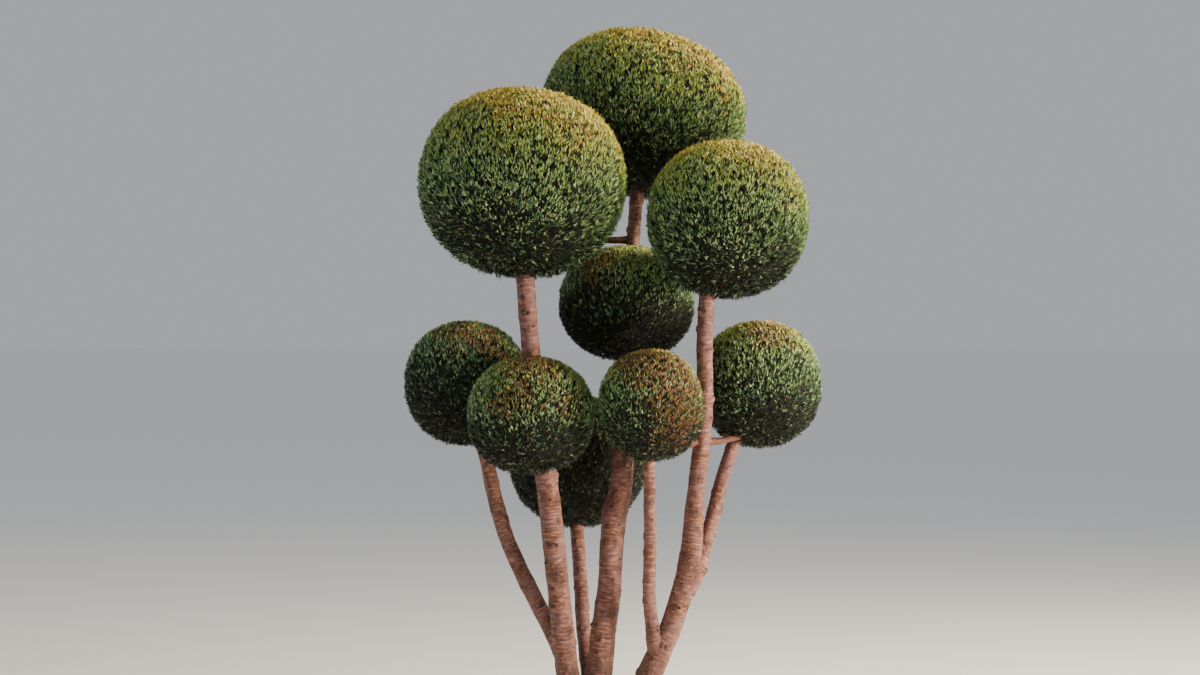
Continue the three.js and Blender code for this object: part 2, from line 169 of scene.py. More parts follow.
# points of a centripetal curve through these points, at each t from 0 to 1
def curvePoints(points, t):
    points = np.asarray(points, float)
    last = len(points) - 1
    place = np.clip(t, 0, 1) * last
    before = np.minimum(place.astype(int), last - 1)
    weight = (place - before)[:, None]
    padded = np.vstack([2 * points[0] - points[1], points, 2 * points[-1] - points[-2]])
    p0, p1, p2, p3 = (padded[before + k] for k in range(4))
    pairs = ((p0, p1), (p1, p2), (p2, p3))
    d0, d1, d2 = (np.sqrt(np.linalg.norm(b - a, axis=1))[:, None] for a, b in pairs)
    slope1 = ((p1 - p0) / d0 - (p2 - p0) / (d0 + d1) + (p2 - p1) / d1) * d1
    slope2 = ((p2 - p1) / d1 - (p3 - p1) / (d1 + d2) + (p3 - p2) / d2) * d1
    c2 = -3 * p1 + 3 * p2 - 2 * slope1 - slope2
    c3 = 2 * p1 - 2 * p2 + slope1 + slope2
    return p1 + slope1 * weight + c2 * weight ** 2 + c3 * weight ** 3


# centres, directions, radii and lengths along a route, a step apart, from its start to its end
def routeStations(stem, step):
    points = np.array([p[:3] for p in stem["route"]], float)
    widths = np.array([p[3] for p in stem["route"]], float)
    t = np.linspace(0, stem.get("end", 1), routeSamples)
    fine = curvePoints(points, t)
    run = np.concatenate([[0], np.cumsum(np.linalg.norm(np.diff(fine, axis=0), axis=1))])
    count = max(int(run[-1] / step), 4)
    t = np.interp(np.linspace(0, run[-1], count + 1), run, t)
    centre = curvePoints(points, t)
    nudge = 0.0005
    along = curvePoints(points, t + nudge) - curvePoints(points, t - nudge)
    along[0], along[-1] = centre[1] - centre[0], centre[-1] - centre[-2]
    radius = np.interp(t * (len(points) - 1), range(len(points)), widths) / 2
    return centre, unit(along), radius, np.linspace(0, run[-1], count + 1)


# length by the balls' measure, which is a little squarer than a sphere's
def squareLength(vectors):
    return (np.abs(vectors) ** squareness).sum(-1) ** (1 / squareness)


# points turned by degrees about the axis that runs from front to back
def tipped(points, degrees):
    tip = math.radians(degrees)
    x = points[..., 0] * math.cos(tip) + points[..., 2] * math.sin(tip)
    z = -points[..., 0] * math.sin(tip) + points[..., 2] * math.cos(tip)
    return np.stack([x, points[..., 1], z], -1)


# 1 on a ball's clipped surface, less inside
def ballShare(ball, points):
    return squareLength(tipped(np.asarray(points, float) - ball["centre"], -ball["tip"]) / ball["radii"])


# points of a ball in these directions, at a share of its clipped surface
def ballPoints(ball, directions, share):
    local = directions * (np.asarray(share) / squareLength(directions))[..., None] * ball["radii"]
    return tipped(local, ball["tip"]) + ball["centre"]


# how much of each limb its parent hides, and where it ends inside its ball
for stem in stems.values():
    if "from" in stem:
        axis, _, width, _ = routeStations(stems[stem["from"]], 4)
        centre, _, _, run = routeStations(stem, 2)
        gap = np.linalg.norm(centre[:, None] - axis[None], axis=2)
        clear = gap.min(1) > width[gap.argmin(1)]
        stem["buried"] = float(run[np.argmax(clear)])
for stem in stems.values():
    if "carries" in stem:
        t = np.linspace(0, 1, routeSamples)
        share = ballShare(balls[stem["carries"]], curvePoints([p[:3] for p in stem["route"]], t))
        inside = share < endShare
        stem["end"] = float(t[np.argmax(inside)]) if inside.any() else 1.0


# takes the active object as a finished piece
def newPiece(name, materials, slot, *nodes):
    piece = bpy.context.object
    piece.name = name
    piece.data.name = name
    for material in materials:
        piece.data.materials.append(material)
    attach(piece, "root")
    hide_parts(*nodes)
    piece.select_set(False)


def placesOf(mesh, kind="co"):
    places = np.empty(len(mesh.vertices) * 3, np.float32)
    mesh.vertices.foreach_get(kind, places)
    return places.reshape(-1, 3).astype(float)


def setPlaces(mesh, places):
    mesh.vertices.foreach_set("co", np.asarray(places, np.float32).ravel())
    mesh.update()


# what the bark's finish reads at each point of a mesh
def barkAttributes(mesh, places, **numbers):
    layer = mesh.attributes.new("barkPlace", 'FLOAT_VECTOR', 'POINT')
    layer.data.foreach_set("vector", np.asarray(places, np.float32).ravel())
    for name, values in numbers.items():
        layer = mesh.attributes.new(name, 'FLOAT', 'POINT')
        layer.data.foreach_set("value", np.asarray(values, np.float32).ravel())


def outwardNormals():
    bpy.ops.object.mode_set(mode='EDIT')
    bpy.ops.mesh.select_all(action='SELECT')
    bpy.ops.mesh.normals_make_consistent(inside=False)
    bpy.ops.object.mode_set(mode='OBJECT')


# a closed stick of radius 1 with its rings 1 apart: one open band, arrayed and merged, then capped
def straightStick(sides, rings):
    bpy.ops.mesh.primitive_cylinder_add(vertices=sides, radius=1, depth=1, end_fill_type='NOTHING',
                                        location=(0, 0, 0.5))
    bpy.ops.object.transform_apply(location=True)
    stick = bpy.context.object
    mergeWithin = 0.01
    array = stick.modifiers.new("bands", 'ARRAY')
    array.count = rings
    array.use_relative_offset = False
    array.use_constant_offset = True
    array.constant_offset_displace = (0, 0, 1)
    array.use_merge_vertices = True
    array.merge_threshold = mergeWithin
    bpy.ops.object.modifier_apply(modifier=array.name)
    bpy.ops.object.mode_set(mode='EDIT')
    bpy.ops.mesh.select_all(action='SELECT')
    bpy.ops.mesh.remove_doubles(threshold=mergeWithin)
    bpy.ops.mesh.select_all(action='DESELECT')
    bpy.ops.mesh.select_non_manifold()
    bpy.ops.mesh.fill_holes(sides=0)
    bpy.ops.object.mode_set(mode='OBJECT')
    outwardNormals()
    return stick


# a straight stick's points laid along a route, x and y away from the centres of their rings
def bentAlong(centre, along, ring, x, y, reference):
    reference = np.array(reference)
    across = unit(reference - along * (along @ reference)[:, None])
    aside = np.cross(across, along)
    return centre[ring] + across[ring] * x[:, None] + aside[ring] * y[:, None]


# lumps and rings all over, swollen nodes with branch scars, crusts on the bulges, flakes near the ground
bark = {"ringStep": 2.7, "lumpSize": 60, "lumpRise": 0.07, "ringSize": 5.0, "ringWidth": 30, "ringRise": 0.45,
        "nodeGap": (34, 90), "nodeRise": 1.2, "nodeShare": (0.3, 1.1), "nodeTilt": 0.12, "nodeWidth": 7,
        "nodeRadius": 30, "scarShare": 0.9, "scarRise": 4.2, "scarWide": 9, "scarTall": 6, "scarDroop": 0.35,
        "scarAbove": (4, 14), "scarSize": (0.6, 1.1), "scarRadius": 32, "crustRise": 2.4, "crustWide": 9,
        "crustTall": 6, "crustFrom": 0.1, "flakeHeight": (360, 230), "flakeRise": 2.8, "flakeMean": 0.9,
        "flakeWide": 12, "flakeTall": 26, "collarRise": 0.32, "collarFade": 24}
roughNoise = (0.8, 2.1, 3)  # dimension, lacunarity and octaves


# 1 in the middle of a bump, and less further out
def bell(far, width=1, power=2):
    return np.exp(-(far / width) ** power)


# 1 where the bark is rough and flaky, near the ground, and 0 where it is smooth
def flakyShare(height):
    top, full = bark["flakeHeight"]
    return max(0.0, min(1.0, (top - height) / (top - full)))


# how far the bark stands out, and how much of a branch scar each place holds
def barkRelief(run, turn, radius, height, seed):
    dice = np.random.default_rng(seed)
    rise, scar = np.zeros(len(run)), np.zeros(len(run))
    around = np.stack([np.cos(turn) * radius, np.sin(turn) * radius, run], -1)
    across, wide, tall = bark["ringWidth"], bark["flakeWide"], bark["flakeTall"]
    for i, (x, y, z) in enumerate(around):
        lump = noise.noise(Vector(around[i] / bark["lumpSize"]) + Vector((seed, 0, 0)))
        ring = noise.noise(Vector((x / across, y / across, z / bark["ringSize"] + seed)))
        flake = flakyShare(height[i])
        rise[i] = radius[i] * bark["lumpRise"] * lump + bark["ringRise"] * ring
        if flake > 0:
            plate = noise.multi_fractal(Vector((x / wide, y / wide, z / tall + seed)), *roughNoise)
            rise[i] += flake * bark["flakeRise"] * (plate - bark["flakeMean"])
    at = dice.uniform(*bark["nodeGap"])
    while at < run.max():
        tilt = dice.uniform(-bark["nodeTilt"], bark["nodeTilt"])
        off = run - at - tilt * around[:, 0]
        swell = bark["nodeRise"] * dice.uniform(*bark["nodeShare"])
        swell *= min(1, radius.mean() / bark["nodeRadius"])
        rise += swell * bell(off, bark["nodeWidth"])
        if dice.random() < bark["scarShare"]:
            side = dice.uniform(-math.pi, math.pi)
            across = np.angle(np.exp(1j * (turn - side))) * radius / bark["scarWide"]
            upward = (run - at - dice.uniform(*bark["scarAbove"])) / bark["scarTall"]
            far = np.sqrt(across ** 2 + (upward + bark["scarDroop"] * across ** 2) ** 2)
            size = dice.uniform(*bark["scarSize"]) * min(1, radius.mean() / bark["scarRadius"])
            rim, pit = bell(far - 0.9, 0.4), bell(far, 0.5)
            rise += bark["scarRise"] * size * (rim - 0.9 * pit)
            scar = np.maximum(scar, bell(far, 0.75))
        at += dice.uniform(*bark["nodeGap"])
    return rise, scar


# a stick bent along its route, with the bark's relief pressed into it; extra adds the limb's own marks
def limbBark(stem, seed, extra):
    centre, along, radius, run = routeStations(stem, bark["ringStep"])
    stick = straightStick(stem["sides"], len(run) - 1)
    straight = placesOf(stick.data)
    ring = np.clip(np.rint(straight[:, 2]).astype(int), 0, len(run) - 1)
    turn = np.arctan2(straight[:, 1], straight[:, 0])
    size = radius[ring]
    if "from" in stem:
        past = np.maximum(run[ring] - stem["buried"], 0)
        size = size * (1 + bark["collarRise"] * np.exp(-past / bark["collarFade"]))
    rise, scar = barkRelief(run[ring], turn, radius[ring], centre[ring][:, 2], seed)
    ownRise, ownScar, crust = extra(run[ring], turn, centre[ring])
    rise, scar = rise + ownRise, np.maximum(scar, ownScar)
    around = np.stack([np.cos(turn) * radius[ring], np.sin(turn) * radius[ring], run[ring]], -1)
    crumb = around / (bark["crustWide"], bark["crustWide"], bark["crustTall"])
    for i in np.flatnonzero(crust > bark["crustFrom"]):
        rise[i] += crust[i] * bark["crustRise"] * noise.noise(Vector(crumb[i]))
    size = size + rise
    reference = (0, 0, 1.0) if "level" in stem else (1.0, 0, 0)
    places = bentAlong(centre, along, ring, np.cos(turn) * size, np.sin(turn) * size, reference)
    setPlaces(stick.data, places * mm)
    outwardNormals()
    bpy.ops.object.shade_smooth()
    flaky = [flakyShare(z) for z in centre[ring][:, 2]]
    barkAttributes(stick.data, around * mm, scar=scar, flaky=flaky, crust=crust)


# gives a node's socket a plain number, or links it to another socket
def feed(socket, value):
    if isinstance(value, (int, float)):
        socket.default_value = value
    else:
        socket.id_data.links.new(value, socket)


def maths(kind, *values):
    node = values[0].id_data.nodes.new("ShaderNodeMath")
    node.operation = kind
    for socket, value in zip(node.inputs, values):
        feed(socket, value)
    return node.outputs["Value"]


def ramp(value, low, high, kind='SMOOTHSTEP'):
    fit = value.id_data.nodes.new("ShaderNodeMapRange")
    fit.interpolation_type = kind
    feed(fit.inputs["Value"], value)
    feed(fit.inputs["From Min"], low)
    feed(fit.inputs["From Max"], high)
    return fit.outputs["Result"]


def blend(first, second, share):
    mix = first.id_data.nodes.new("ShaderNodeMix")
    mix.data_type = 'RGBA'
    feed(mix.inputs["Factor"], share)
    feed(mix.inputs["A"], first)
    feed(mix.inputs["B"], second)
    return mix.outputs["Result"]


def stretched(place, stretch):
    mapping = place.id_data.nodes.new("ShaderNodeMapping")
    mapping.inputs["Scale"].default_value = stretch
    feed(mapping.inputs["Vector"], place)
    return mapping.outputs["Vector"]


def grain(place, scale, detail):
    node = place.id_data.nodes.new("ShaderNodeTexNoise")
    feed(node.inputs["Scale"], scale)
    feed(node.inputs["Detail"], detail)
    feed(node.inputs["Vector"], place)
    return node


def newGroup(name, puts, outs):
    group = bpy.data.node_groups.new(name, 'ShaderNodeTree')
    for direction, sockets in (('INPUT', puts), ('OUTPUT', outs)):
        for label, kind in sockets.items():
            group.interface.new_socket(label, in_out=direction, socket_type="NodeSocket" + kind)
    return group, group.nodes.new("NodeGroupInput").outputs, group.nodes.new("NodeGroupOutput").inputs


print("bark finish")
# noises of the bark: stretch, scale and detail
grains = {
    "rings": ((0.20, 0.20, 1), 200, 4), "folds": ((0.20, 0.20, 1), 70, 3), "patches": ((1, 1, 0.5), 24, 2),
    "stains": ((1, 1, 0.7), 60, 3), "flecks": ((0.5, 0.5, 1), 120, 1), "scales": ((0.8, 0.8, 1.6), 130, 5),
    "tone": ((1, 1, 0.5), 150, 4)}
# long plates near the ground, whose edges wander
plates = {"scale": 78, "stretch": (1, 1, 0.36), "wander": (0.022, 0.022, 0.03),
          "wobble": ((1, 1, 0.6), 65, 3)}
# marks that the noises make: which one, and between which of its values the mark fades in
marks = {
    "warmPatch": ("patches", 0.42, 0.60), "mainPatch": ("patches", 0.40, 0.60),
    "stain": ("stains", 0.50, 0.72), "deepStain": ("stains", 0.48, 0.70), "paleRing": ("rings", 0.50, 0.68),
    "darkRing": ("rings", 0.46, 0.32), "wrinkle": ("crease", 0.022, 0.004), "fleck": ("flecks", 0.64, 0.78),
    "scaly": ("scales", 0.45, 0.62), "paleTone": ("tone", 0.54, 0.74), "darkTone": ("tone", 0.48, 0.34),
    "furrow": ("plates", 0.22, 0.02), "furrowBreak": ("tone", 0.30, 0.55)}
# colours laid over each other: the colour, the mark that deals it out, and its strength
smoothLayers = [("Warm", "warmPatch", 1), ("Dark", "stain", 0.60), ("Pale", "paleRing", 0.42),
                ("Dark", "darkRing", 0.34), ("Dark", "wrinkle", 0.30), ("Dark", "fleck", 0.5),
                ("Dark", "scar", 0.8), ("Warm", "crust", 0.6), ("Dark", "crusty", 0.62)]
flakyLayers = [("Main", "mainPatch", 1), ("Pale", "paleTone", 0.38), ("Dark", "darkTone", 0.45),
               ("Dark", "crevice", 1)]
crevice = {"crack": 0.9, "stain": 0.55}
barkHeight = {"rings": 0.9, "stains": 0.4, "wrinkle": -0.35, "fleck": -0.15, "flakyCrack": -1.2, "crusty": -1}
barkRough, barkBump = {"stains": 0.3, "least": 0.55}, 0.7


# ringed bark that turns flaky, from a place round and along the limb
def fleckedBarkGroup():
    puts = {"Place": "Vector", "Scar": "Float", "Flaky": "Float", "Crust": "Float"}
    puts.update({label: "Color" for label in ("Main", "Warm", "Dark", "Pale")})
    outs = {"Color": "Color", "Roughness": "Float", "Height": "Float"}
    tree, put, out = newGroup("fleckedBark", puts, outs)
    value = {"scar": put["Scar"], "crust": put["Crust"]}
    for name, (stretch, scale, detail) in grains.items():
        value[name] = grain(stretched(put["Place"], stretch), scale, detail).outputs["Fac"]
    value["crease"] = maths('ABSOLUTE', maths('SUBTRACT', value["folds"], 0.5))

    stretch, scale, detail = plates["wobble"]
    wobble = grain(stretched(put["Place"], stretch), scale, detail).outputs["Color"]
    wander = tree.nodes.new("ShaderNodeVectorMath")
    wander.operation = 'MULTIPLY_ADD'
    wander.inputs[1].default_value = plates["wander"]
    feed(wander.inputs[0], wobble)
    feed(wander.inputs[2], put["Place"])
    cells = tree.nodes.new("ShaderNodeTexVoronoi")
    cells.feature = 'DISTANCE_TO_EDGE'
    cells.inputs["Scale"].default_value = plates["scale"]
    feed(cells.inputs["Vector"], stretched(wander.outputs["Vector"], plates["stretch"]))
    value["plates"] = cells.outputs["Distance"]

    for name, (source, low, high) in marks.items():
        value[name] = ramp(value[source], low, high)
    value["crusty"] = maths('MULTIPLY', put["Crust"], value["scaly"])
    value["crack"] = maths('MULTIPLY', value["furrow"], value["furrowBreak"])
    value["flakyCrack"] = maths('MULTIPLY', value["crack"], put["Flaky"])
    value["crevice"] = maths('MAXIMUM', maths('MULTIPLY', value["crack"], crevice["crack"]),
                             maths('MULTIPLY', value["deepStain"], crevice["stain"]))

    def laidOver(colour, layers):
        for label, mark, strength in layers:
            colour = blend(colour, put[label], maths('MULTIPLY', value[mark], strength))
        return colour

    smooth, flaky = laidOver(put["Main"], smoothLayers), laidOver(put["Warm"], flakyLayers)
    feed(out["Color"], blend(smooth, flaky, put["Flaky"]))
    rough = maths('MULTIPLY_ADD', value["stains"], barkRough["stains"], barkRough["least"])
    feed(out["Roughness"], rough)
    height = 0.0
    for mark, weight in barkHeight.items():
        height = maths('MULTIPLY_ADD', value[mark], weight, height)
    feed(out["Height"], height)
    return tree


# speckles of two tones, as on the shaded insides and the fine twigs
def speckledToneGroup():
    puts = {"Place": "Vector", "Dark": "Color", "Light": "Color"}
    puts.update({label: "Float" for label in ("Scale", "Detail", "Low", "High")})
    tree, put, out = newGroup("speckledTone", puts, {"Color": "Color", "Height": "Float"})
    speckle = grain(put["Place"], put["Scale"], put["Detail"]).outputs["Fac"]
    share = ramp(speckle, put["Low"], put["High"], 'LINEAR')
    feed(out["Color"], blend(put["Dark"], put["Light"], share))
    feed(out["Height"], speckle)
    return tree


fleckedBark = fleckedBarkGroup()
speckledTone = speckledToneGroup()
barkReads = {"Place": ("barkPlace", "Vector"), "Scar": ("scar", "Fac"), "Flaky": ("flaky", "Fac"),
             "Crust": ("crust", "Fac")}


# a material that takes its colour from a group, and its bump too where a depth is given
def groupMaterial(name, group, values, plain, bumpStrength=0, bumpDepth=0):
    material, shader = newMaterial(name, plain)
    tree = material.node_tree
    node = tree.nodes.new("ShaderNodeGroup")
    node.node_tree = group
    for label, value in values.items():
        node.inputs[label].default_value = srgb(*value) if isinstance(value, tuple) else value
    feed(shader.inputs["Base Color"], node.outputs["Color"])
    if bumpDepth:
        bump = tree.nodes.new("ShaderNodeBump")
        bump.inputs["Strength"].default_value = bumpStrength
        bump.inputs["Distance"].default_value = bumpDepth
        feed(bump.inputs["Height"], node.outputs["Height"])
        feed(shader.inputs["Normal"], bump.outputs["Normal"])
    return material, node, shader


def barkMaterial(name, tones, bumpDepth):
    material, node, shader = groupMaterial(name, fleckedBark, tones, {}, barkBump, bumpDepth)
    for label, (attribute, output) in barkReads.items():
        spot = material.node_tree.nodes.new("ShaderNodeAttribute")
        spot.attribute_name = attribute
        feed(node.inputs[label], spot.outputs[output])
    feed(shader.inputs["Roughness"], node.outputs["Roughness"])
    return material


def speckledMaterial(name, values, *finish):
    material, node, _ = groupMaterial(name, speckledTone, values, *finish)
    place = material.node_tree.nodes.new("ShaderNodeTexCoord")
    feed(node.inputs["Place"], place.outputs["Object"])
    return material


oldTones = {"Main": (129, 87, 80), "Warm": (116, 72, 52), "Dark": (38, 22, 19), "Pale": (212, 154, 124)}
youngTones = {"Main": (104, 62, 42), "Warm": (116, 68, 42), "Dark": (56, 31, 21), "Pale": (146, 100, 74)}
oldBark = barkMaterial("ringedBark", oldTones, 0.004)
youngBark = barkMaterial("youngOrangeBark", youngTones, 0.0008)

print("stems and side branches")
# bulges that show at a stem's edge: height, direction round the stem, reach and rise
bulges = {
    "stem_centre": [(735, math.pi, 24, 5), (742, 1.9, 24, 4), (728, 1.2, 20, 4), (676, 0.5, 12, 3),
        (572, 0.7, 13, 3), (508, 0.4, 14, 3), (640, 2.3, 10, 2), (450, 1.2, 14, 3)],
    "stem_front_left": [(1130, 0.6, 14, 2.5), (1180, 1.8, 12, 2), (770, 0.7, 12, 2.5), (650, 1.9, 11, 2.5),
        (572, 1.5, 24, 3.5), (556, 1.1, 20, 3), (480, 2.6, 12, 2.5), (410, 0.9, 12, 2)],
    "stem_front_right": [(590, 0.9, 30, 4), (560, 0.3, 30, 4), (610, 1.8, 22, 3), (735, 1.4, 10, 2.5),
        (690, 1.2, 10, 2.5), (1090, 1.6, 12, 2.5), (830, 1.2, 13, 2.5), (478, 0.6, 11, 2.5)],
    "stem_right": [(742, 0.0, 13, 4), (640, 1.4, 12, 2.5)], "stem_front_mid": [(800, 1.0, 11, 2)],
    "stem_rear_left": [(610, 1.2, 13, 3), (700, 0.4, 12, 2.5)]}
bulge = {"radiusShare": 0.75, "dent": 0.5, "dentReach": 0.35, "dark": 0.85, "darkReach": 0.34,
         "crustReach": 1.2}
swollen = {"stem": "stem_front_right", "height": 1054, "rise": 3.6, "width": 8}
firstSeed = 11


# the bulges of one stem, as a function for limbBark
def ownShape(name):
    def shape(run, turn, centre):
        rise, dark, crust = np.zeros(len(run)), np.zeros(len(run)), np.zeros(len(run))
        radius = stems[name]["route"][0][3] / 2 * bulge["radiusShare"]
        for height, towards, reach, up in bulges.get(name, []):
            wide = np.angle(np.exp(1j * (turn - towards))) * radius
            far = np.hypot(wide, centre[:, 2] - height) / reach
            dent = 1 - bulge["dent"] * bell(far, bulge["dentReach"])
            rise += up * bell(far) * dent
            dark = np.maximum(dark, bulge["dark"] * bell(far, bulge["darkReach"]))
            crust = np.maximum(crust, bell(far, bulge["crustReach"], 4))
        if name == swollen["stem"]:
            far = centre[:, 2] - swollen["height"]
            rise += swollen["rise"] * bell(far, swollen["width"])
        return rise, dark, crust
    return shape


for index, (name, stem) in enumerate(stems.items()):
    limbBark(stem, firstSeed + index, ownShape(name))
    nodes = [name] if "from" in stem else [name, "trunk"]
    young = "level" in stem
    newPiece(name + "_bark", [youngBark if young else oldBark], "young_bark" if young else "bark", *nodes)

# the sawn leader's round scar: its place along and round the stub, and its callus
sawnScar = {"run": 50, "turn": 1.45, "size": 10, "radius": 15, "callus": 1.5, "callusReach": 1.5,
            "lip": 1.6, "groove": 1.2, "seed": 41}


def roundScar(run, turn, centre):
    wide = np.angle(np.exp(1j * (turn - sawnScar["turn"]))) * sawnScar["radius"] / sawnScar["size"]
    far = np.hypot(wide, (run - sawnScar["run"]) / sawnScar["size"])
    callus = sawnScar["callus"] * bell(far, sawnScar["callusReach"], 4)
    rise = callus + sawnScar["lip"] * bell(far - 1.3, 0.3) - sawnScar["groove"] * bell(far - 0.95, 0.3)
    return rise, bell(far - 0.95, 0.36), np.zeros(len(run))


limbBark(sawnLeader, sawnScar["seed"], roundScar)
newPiece("stem_centre_sawn_leader", [oldBark], "bark", "stem_centre")

print("foot")
footing = {"sides": 96, "depthShare": 0.78, "rootRidges": 5, "ridgeRise": 0.17, "ridgeFade": 75,
           "profile": [(150, 0), (126, 12), (110, 34), (102, 64), (94, 92), (78, 116), (44, 130), (6, 134)],
           "collarTop": 190, "collarSides": 24, "collarStep": 10, "collarWidth": (0.93, 0.24),
           "voxel": 5.5, "smoothing": 0.5, "smoothings": 7}
furrow = {"rise": 2.4, "coarse": (60, 60, 28), "coarseNoise": (0.9, 2.1, 4), "coarseMean": 1.0,
          "fine": (200, 200, 70), "fineShare": 0.6, "rimHeight": 0.03, "rimShare": 0.3,
          "underNormal": -0.35, "underHeight": 0.012}


# the flared body of the foot: a disc extruded upward, its levels then set to the profile
def footBody():
    bpy.ops.mesh.primitive_circle_add(vertices=footing["sides"], radius=1, fill_type='NGON')
    body = bpy.context.object
    bpy.ops.object.mode_set(mode='EDIT')
    for _ in footing["profile"][1:]:
        bpy.ops.mesh.extrude_region_move(TRANSFORM_OT_translate={"value": (0, 0, 1)})
    bpy.ops.object.mode_set(mode='OBJECT')
    places = placesOf(body.data)
    level = np.clip(np.rint(places[:, 2]).astype(int), 0, len(footing["profile"]) - 1)
    turn = np.arctan2(places[:, 1], places[:, 0])
    width, height = np.array(footing["profile"], float)[level].T
    ridge = 0.5 + 0.5 * np.cos(footing["rootRidges"] * turn)
    swell = width * (1 + footing["ridgeRise"] * ridge * np.exp(-height / footing["ridgeFade"]))
    outline = np.stack([np.cos(turn) * swell, np.sin(turn) * swell * footing["depthShare"], height], -1)
    setPlaces(body.data, outline * mm)
    return body


# the lowest stretch of one stem, a little wider towards the ground
def footCollar(stem):
    centre, along, radius, _ = routeStations({"route": stem["route"]}, footing["collarStep"])
    count = int(np.argmax(centre[:, 2] > footing["collarTop"]))
    stick = straightStick(footing["collarSides"], count)
    straight = placesOf(stick.data)
    ring = np.rint(straight[:, 2]).astype(int)
    top, (least, more) = footing["collarTop"], footing["collarWidth"]
    fade = np.clip((top - centre[ring][:, 2]) / top, 0, 1)
    size = radius[ring] * (least + more * fade)
    places = bentAlong(centre, along, ring, straight[:, 0] * size, straight[:, 1] * size, (1.0, 0, 0))
    setPlaces(stick.data, places * mm)
    return stick


# the foot's parts fused into one skin
def grownTogether(body, collars):
    bpy.ops.object.select_all(action='DESELECT')
    for part in [body, *collars]:
        part.select_set(True)
    bpy.context.view_layer.objects.active = body
    bpy.ops.object.join()
    outwardNormals()
    remesh = body.modifiers.new("grownTogether", 'REMESH')
    remesh.mode = 'VOXEL'
    remesh.voxel_size = footing["voxel"] * mm
    bpy.ops.object.modifier_apply(modifier=remesh.name)
    smooth = body.modifiers.new("softened", 'SMOOTH')
    smooth.factor = footing["smoothing"]
    smooth.iterations = footing["smoothings"]
    bpy.ops.object.modifier_apply(modifier=smooth.name)


# furrowed bark pressed into the foot, and an underside that lies flat
def furrowFoot(mesh):
    places, normals = placesOf(mesh), placesOf(mesh, "normal")
    coarse, fine = np.array(furrow["coarse"]), np.array(furrow["fine"])
    rise = np.array([noise.multi_fractal(Vector(p * coarse), *furrow["coarseNoise"]) for p in places])
    rise -= furrow["coarseMean"]
    rise += furrow["fineShare"] * np.array([noise.noise(Vector(p * fine)) for p in places])
    rise *= np.clip(places[:, 2] / furrow["rimHeight"], furrow["rimShare"], 1)  # less at the rim
    places = places + normals * (rise * furrow["rise"] * mm)[:, None]
    under = (normals[:, 2] < furrow["underNormal"]) & (places[:, 2] < furrow["underHeight"])
    places[:, 2] = np.where(under, 0.0, np.maximum(places[:, 2], 0.0))
    setPlaces(mesh, places)
    none = np.zeros(len(places))
    barkAttributes(mesh, places, scar=none, flaky=none + 1, crust=none)


body = footBody()
collars = [footCollar(stem) for stem in stems.values() if "from" not in stem]
grownTogether(body, collars)
furrowFoot(body.data)
bpy.ops.object.shade_smooth()
newPiece("trunk_foot", [oldBark], "bark", "trunk")

print("foliage")
# tufts: how they stand on a ball and lean
tuft = {"perSquareMetre": 8200, "finePower": 1.5, "unevenness": 0.42, "lean": 0.6, "scatter": 0.34,
        "sink": 0.070, "sinkPower": 1.3, "rootDepth": 12.5, "limbClearance": 3.0, "nearShare": 1.25}
# sprays: how those of a tuft fan out, curve upward and stay within the clipped surface
spray = {"perTuft": 3, "length": (20.0, 32.0), "underLonger": 0.3, "fan": 0.40, "fanSpread": (0.6, 1.6),
         "outward": 0.25, "upward": 1.5, "underLess": 0.6, "aside": 0.35, "tipScatter": 0.36, "turn": 0.9,
         "reach": 0.996, "tuftRagged": 0.010, "ragged": 0.014, "underRagged": (-0.02, 0.05),
         "proudFrom": 0.92, "proudOver": 0.065, "roughness": 0.62}
# prongs of one spray: where each leaves the rib, its share of the spray's length, and how far it turns aside
prongs = [(0.22, 0.78, 0.0), (0.30, 0.42, 0.32), (0.48, 0.36, -0.32)]
# a share of the side prongs takes the painted shade of the spray's foot
prong = {"halfWidth": (1.1, 1.6), "widest": 0.55, "fold": 0.5, "footWidth": 1.0, "footTip": 0.45,
         "slantSpread": (0.7, 1.3), "reachSpread": (0.75, 1.2), "pull": 0.25, "shadedProngShare": 0.35}
twigs = {"tuftsPerTwig": 3, "root": 0.80, "lean": (0.8, 0.2), "radii": (1.6, 1.0), "boughRadii": (7, 2.5),
         "boughReach": 0.93, "boughsPerSquareMetre": 12}
inner = {"share": 0.905, "detail": 5, "roughness": 0.03, "coarse": 14, "fine": 37, "fineShare": 0.6}

# a spray's points and faces: a foot of three points, then four points and two faces for each prong
footPoints, prongPoints = 3, 4
sprayPoints = footPoints + prongPoints * len(prongs)
sprayFaces = [(0, 2, 1)]
for start in range(footPoints, sprayPoints, prongPoints):
    sprayFaces += [(start, start + 3, start + 2), (start, start + 1, start + 3)]
sprayFaces = np.array(sprayFaces)

# the sprays' plain colours; a spray's foot takes a darker one as painted shade, deepGreen unless it is named
# here
# two of these, the grey-green sage tints, are painted highlights, a plain one and a darker copy for the
# deepest painted shade
tints = {"tipOrange": (206, 142, 70), "tipGold": (220, 200, 84), "yellowGreen": (172, 188, 88),
         "freshGreen": (140, 178, 92), "midGreen": (100, 136, 74), "blueGreen": (84, 134, 96),
         "sageTip": (168, 188, 128), "dullSage": (112, 124, 86), "redBrown": (150, 94, 60),
         "oliveTip": (134, 126, 52), "oliveGreen": (86, 92, 24), "deepGreen": (34, 52, 26),
         "shadeGreen": (20, 30, 16)}
paintedShadeTints = {"tipOrange": "oliveGreen", "tipGold": "oliveGreen", "yellowGreen": "oliveGreen",
             "deepGreen": "shadeGreen", "shadeGreen": "shadeGreen"}
tintNumber = {name: number for number, name in enumerate(tints)}
paintedShadeTint = np.array([tintNumber[paintedShadeTints.get(name, "deepGreen")] for name in tints])
tintMaterials = []
